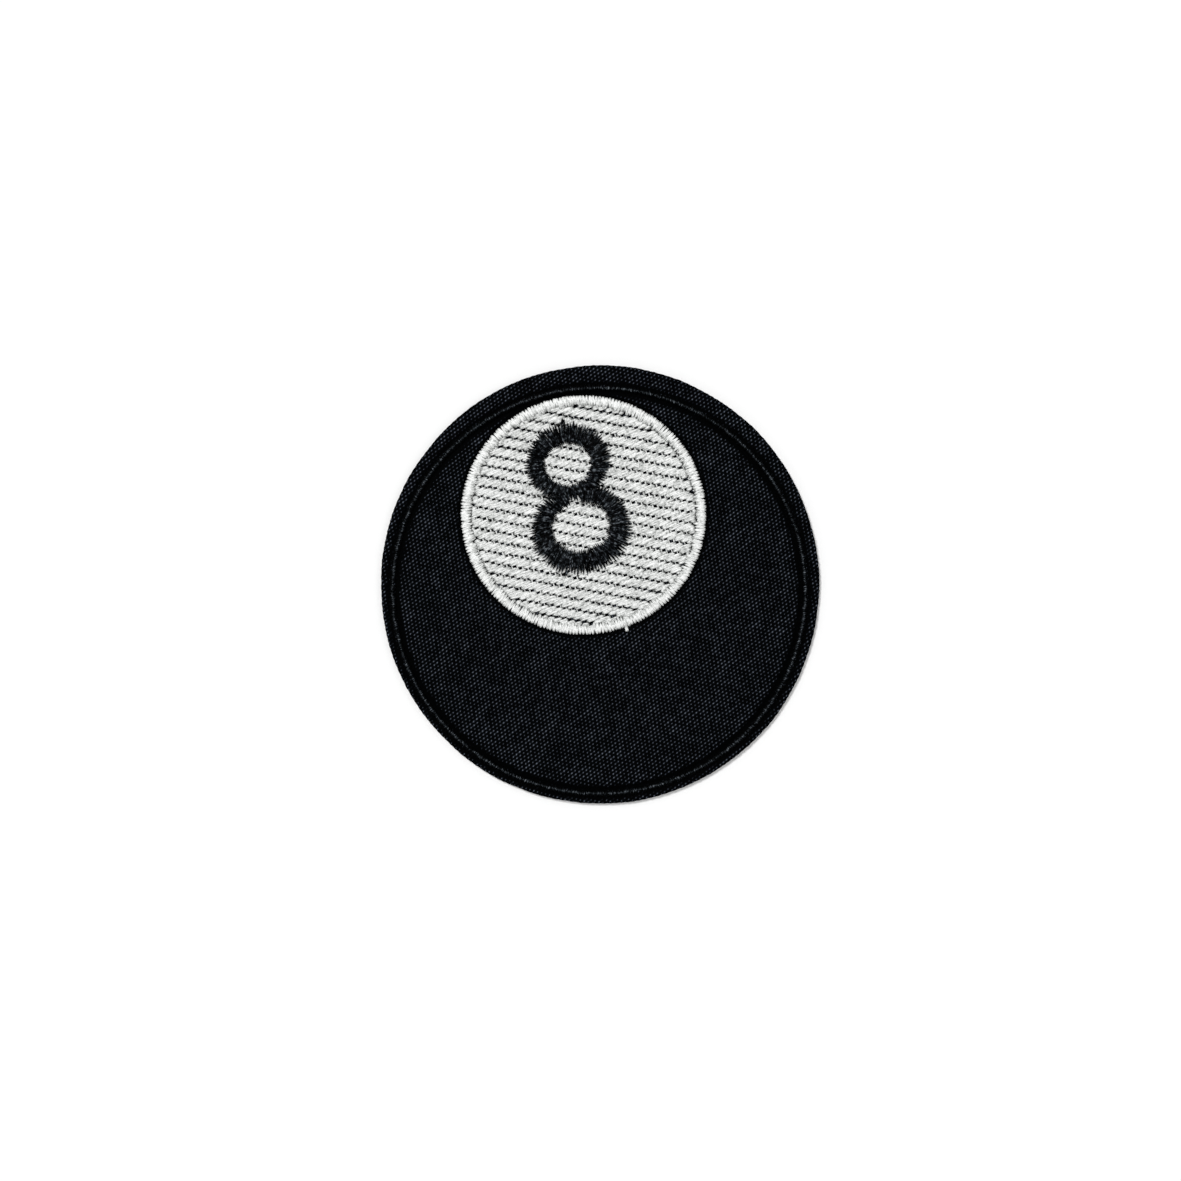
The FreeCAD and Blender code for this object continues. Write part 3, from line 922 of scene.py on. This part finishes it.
def make_layer(name, node, slot, material, inset, rings, relief):
    """One of the layers under the cloth, cut to the same outline, inset by a little. Its back
    has rings of faces, raised by relief."""
    low, high = corners(node)
    count = LAYER_CUTS
    angle = np.arange(count) * 2 * math.pi / count
    rim = cut_radius(angle) - inset
    outline = np.stack([rim * np.cos(angle), rim * np.sin(angle)], -1)
    shares = np.linspace(0, 1, rings + 1)[1:]
    flat = (shares[:, None, None] * outline[None]).reshape(-1, 2)
    below = np.column_stack([flat, low[2] + relief(flat)])
    above = np.column_stack([outline, np.full(count, high[2])])
    points = np.concatenate([below, above, [[0, 0, low[2]], [0, 0, high[2]]]])
    here = np.arange(count)
    after = (here + 1) % count
    ring = np.arange(rings)[:, None] * count
    quads = np.stack([ring[:-1] + here, ring[1:] + here, ring[1:] + after, ring[:-1] + after], -1)
    under, over = (rings - 1) * count, rings * count
    wall = np.stack([under + here, over + here, over + after, under + after], -1)
    bottom = np.stack([np.full(count, len(points) - 2), here, after], -1)
    top = np.stack([np.full(count, len(points) - 1), over + after, over + here], -1)
    faces = quads[..., ::-1].reshape(-1, 4).tolist() + wall[..., ::-1].tolist()
    faces += bottom[:, ::-1].tolist() + top[:, ::-1].tolist()
    pressed = back_relief(points[:, :2]) / BACK_RELIEF
    pressed = np.repeat(pressed[:, None], 3, axis=1)
    piece = make_piece(name, points, faces, slot, material, pressed=pressed)
    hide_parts(node)
    return piece


def make_layers():
    make_layer(
        "film_layer", "hot_melt_film", "film", FILM, inset=0.03, rings=110,
        relief=lambda flat: BACK_RELIEF - back_relief(flat),
    )
    backing = make_layer(
        "backing_layer", "stabiliser", "stabiliser", STABILISER, inset=0.0, rings=8,
        relief=lambda flat: np.zeros(len(flat)),
    )


def make_run(name, node, columns, share, material, slot):
    """The zigzag of a column that is out of sight: its bobbin thread or its underlay. It lies
    over the middle share of the column's width."""
    low, high = corners(node)
    level, thick = (low[2] + high[2]) / 2, (high[2] - low[2]) / 2
    lines = []
    for outer, inner in columns:
        count = 2 * int(outer.half.mean() * math.pi / RUN_PITCH)
        lines.append(
            satin_lines(
                between(outer, inner, 0.5 + share / 2), between(outer, inner, 0.5 - share / 2),
                count, RUN_STEPS, (level, level), level, (0.03, 0.03),
            )
        )
    lines = np.concatenate(lines)
    threads = tubes(lines, 0.13, thick * 0.9, end_taper(RUN_STEPS, len(lines)), sides=6)
    make_threads(name, node, threads, slot, material)


def make_fill_run(name, node, direction, pitch, inset, half_width, material, slot):
    """Parallel stitches over the whole fill, under its top stitches."""
    low, high = corners(node)
    level, thick = (low[2] + high[2]) / 2, (high[2] - low[2]) / 2
    along, upwards = axes(direction)
    area = fill_edge.grown(-inset)
    lines = []
    for line in range(-FILL_RUN_LINES, FILL_RUN_LINES + 1):
        middle = area.centre + upwards * line * pitch
        walk = np.linspace(-1, 1, 801) * area.half.max()
        held = walk[area.depth(middle + walk[:, None] * along) < 1]
        if len(held) > 1:
            flat = middle + np.linspace(held[0], held[-1], FILL_RUN_STEPS)[:, None] * along
            lines.append(np.column_stack([flat, np.full(FILL_RUN_STEPS, level)]))
    lines = np.array(lines)
    taper = end_taper(FILL_RUN_STEPS, len(lines))
    threads = tubes(lines, half_width, thick * 0.9, taper, sides=6)
    make_threads(name, node, threads, slot, material)


def make_hidden_threads():
    outline = [(outline_outer, outline_inner)]
    border = [(spot_outer, spot_inner)]
    numeral = [(upper_outer, upper_counter), (lower_outer, lower_counter)]
    black, white = (BLACK_THREAD, "black_thread"), (WHITE_THREAD, "white_thread")
    bobbin = (BOBBIN_THREAD, "bobbin_thread")
    make_run("outline_bobbin_threads", "outline_bobbin", outline, 1 / 3, *bobbin)
    make_run("border_bobbin_threads", "border_bobbin", border, 1 / 3, *bobbin)
    make_run("numeral_bobbin_threads", "numeral_bobbin", numeral, 1 / 3, *bobbin)
    make_run("outline_underlay_threads", "outline_underlay", outline, 1 / 2, *black)
    make_run("border_underlay_threads", "border_underlay", border, 1 / 2, *white)
    make_run("numeral_underlay_threads", "numeral_underlay", numeral, 1 / 2, *black)
    across = FILL_ANGLE + math.pi / 2
    make_fill_run(
        "fill_bobbin_threads", "fill_bobbin", FILL_ANGLE, pitch=1.1, inset=1.5,
        half_width=0.12, material=BOBBIN_THREAD, slot="bobbin_thread",
    )
    make_fill_run(
        "fill_underlay_threads", "fill_underlay", across, pitch=0.85, inset=1.2,
        half_width=0.13, material=WHITE_THREAD, slot="white_thread",
    )


# --- Studio ---------------------------------------------------------------------------------

# How many millimetres of the cloth's face the picture is wide, and the point at its middle.
VIEW_WIDTH = 204.5
VIEW_MIDDLE = (-1.65, -1.04)
LENS = 85.0
SENSOR = 36.0
# The floor's half width, and its gap under the patch, in metres.
FLOOR_HALF = 6.0
FLOOR_GAP = 0.00002
# The sky's brightness at shares of the way up.
SKY = [(0.0, 1.0), (0.28, 0.9), (0.5, 0.36), (1.0, 0.45)]


def make_floor():
    mesh = bpy.data.meshes.new("floor")
    half = FLOOR_HALF
    rim = [(-half, -half, 0), (half, -half, 0), (half, half, 0), (-half, half, 0)]
    mesh.from_pydata(rim, [], [(0, 1, 2, 3)])
    mesh.materials.append(floor_material())
    floor = bpy.data.objects.new("floor", mesh)
    floor.location = (0, 0, BACK * MM - FLOOR_GAP)
    bpy.context.scene.collection.objects.link(floor)


def soft_light(name, direction, softness, strength):
    """Light from far off, as from a large softbox: softness is how wide it looks, in degrees."""
    data = bpy.data.lights.new(name, "SUN")
    data.angle = math.radians(softness)
    data.energy = strength
    light = bpy.data.objects.new(name, data)
    light.location = direction
    light.rotation_euler = (-light.location).to_track_quat("-Z", "Y").to_euler()
    bpy.context.scene.collection.objects.link(light)


def make_sky():
    """A white horizon that the floor runs into, under a softer sky."""
    world = bpy.data.worlds.new("world")
    world.use_nodes = True
    nodes, links = world.node_tree.nodes, world.node_tree.links
    place = nodes.new("ShaderNodeTexCoord")
    parts = nodes.new("ShaderNodeSeparateXYZ")
    ramp = nodes.new("ShaderNodeValToRGB")
    set_ramp(ramp, [(height, (grey, grey, grey)) for height, grey in SKY])
    links.new(place.outputs["Generated"], parts.inputs[0])
    links.new(parts.outputs["Z"], ramp.inputs["Fac"])
    links.new(ramp.outputs["Color"], nodes["Background"].inputs["Color"])
    bpy.context.scene.world = world


def make_studio():
    make_floor()
    soft_light("key", (-0.36, 0.40, 0.95), softness=16.0, strength=1.90)
    soft_light("fill", (0.55, -0.25, 0.9), softness=40.0, strength=0.30)
    make_sky()
    bpy.context.scene.view_settings.view_transform = "Standard"


def make_camera():
    data = bpy.data.cameras.new("camera")
    data.lens = LENS
    data.sensor_width = SENSOR
    data.clip_start = 0.01
    data.clip_end = 20
    camera = bpy.data.objects.new("camera", data)
    distance = VIEW_WIDTH * LENS / SENSOR
    camera.location = (VIEW_MIDDLE[0] * MM, VIEW_MIDDLE[1] * MM, (FACE + distance) * MM)
    bpy.context.scene.collection.objects.link(camera)
    bpy.context.scene.camera = camera


make_layers()
make_twill()
make_cut_edge()
make_hidden_threads()
make_outline_ring()
make_fill()
make_border()
make_numeral()
make_knots()
make_studio()
make_camera()
